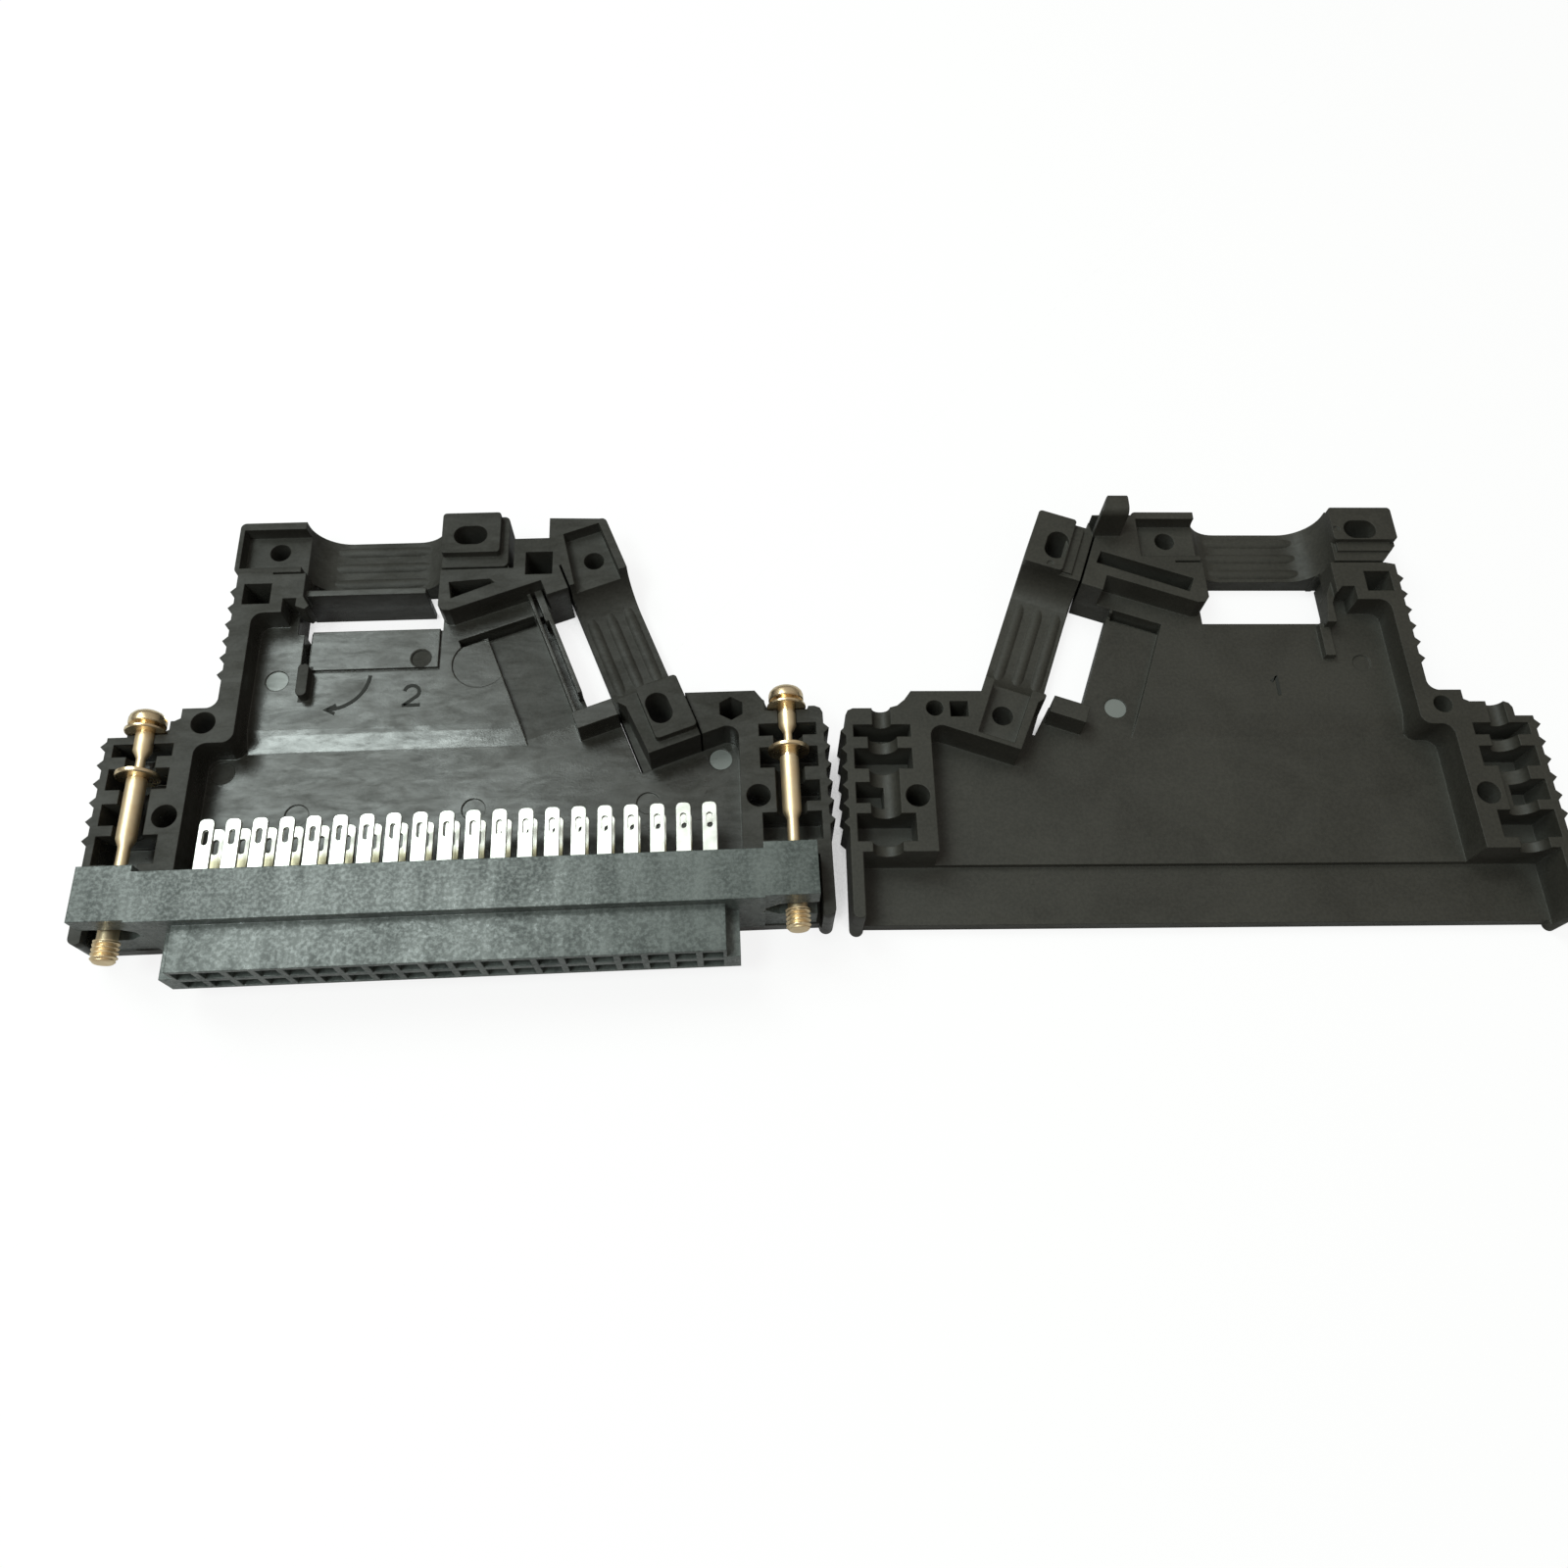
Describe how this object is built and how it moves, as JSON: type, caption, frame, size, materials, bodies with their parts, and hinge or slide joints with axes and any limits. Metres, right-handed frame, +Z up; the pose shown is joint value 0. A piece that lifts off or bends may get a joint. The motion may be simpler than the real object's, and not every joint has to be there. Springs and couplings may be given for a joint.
{
  "type": "programmable logic controller connector",
  "caption": "Opened hood connector for a programmable logic controller: base half with contact insert and captive jackscrews, and the matching cover half beside it.",
  "frame": {"origin": "on the table under the base half, midway along the contact rows, 12 mm behind the hood's front edge", "axes": "+X along the contact rows towards the cover, +Y from the mating nose to the cable exits, +Z up"},
  "size_m": [0.1474, 0.0515, 0.0104],
  "materials": {
    "hood_base": "satin",
    "hood_cover": "matte",
    "insert": "mottled",
    "contact": "tinned",
    "screw": "plated"
  },
  "bodies": {
    "body": {"base_hood": "hood_base", "cover_hood": "hood_cover", "insert_body": "insert", "contact_upper_01": "contact", "contact_upper_02": "contact", "contact_upper_03": "contact", "contact_upper_04": "contact", "contact_upper_05": "contact", "contact_upper_06": "contact", "contact_upper_07": "contact", "contact_upper_08": "contact", "contact_upper_09": "contact", "contact_upper_10": "contact", "contact_upper_11": "contact", "contact_upper_12": "contact", "contact_upper_13": "contact", "contact_upper_14": "contact", "contact_upper_15": "contact", "contact_upper_16": "contact", "contact_upper_17": "contact", "contact_upper_18": "contact", "contact_upper_19": "contact", "contact_upper_20": "contact", "contact_lower_01": "contact", "contact_lower_02": "contact", "contact_lower_03": "contact", "contact_lower_04": "contact", "contact_lower_05": "contact", "contact_lower_06": "contact", "contact_lower_07": "contact", "contact_lower_08": "contact", "contact_lower_09": "contact", "contact_lower_10": "contact", "contact_lower_11": "contact", "contact_lower_12": "contact", "contact_lower_13": "contact", "contact_lower_14": "contact", "contact_lower_15": "contact", "contact_lower_16": "contact", "contact_lower_17": "contact", "contact_lower_18": "contact", "contact_lower_19": "contact", "contact_lower_20": "contact"},
    "left_screw": {"screw_left": "screw"},
    "right_screw": {"screw_right": "screw"}
  },
  "joints": [
    {"name": "left_screw_turn", "type": "hinge", "parent": "body", "child": "left_screw", "pos_m": [-0.0323, 0, 0.006], "axis": [0, 1, 0], "continuous": true},
    {"name": "right_screw_turn", "type": "hinge", "parent": "body", "child": "right_screw", "pos_m": [0.0323, 0, 0.006], "axis": [0, 1, 0], "continuous": true}
  ]
}
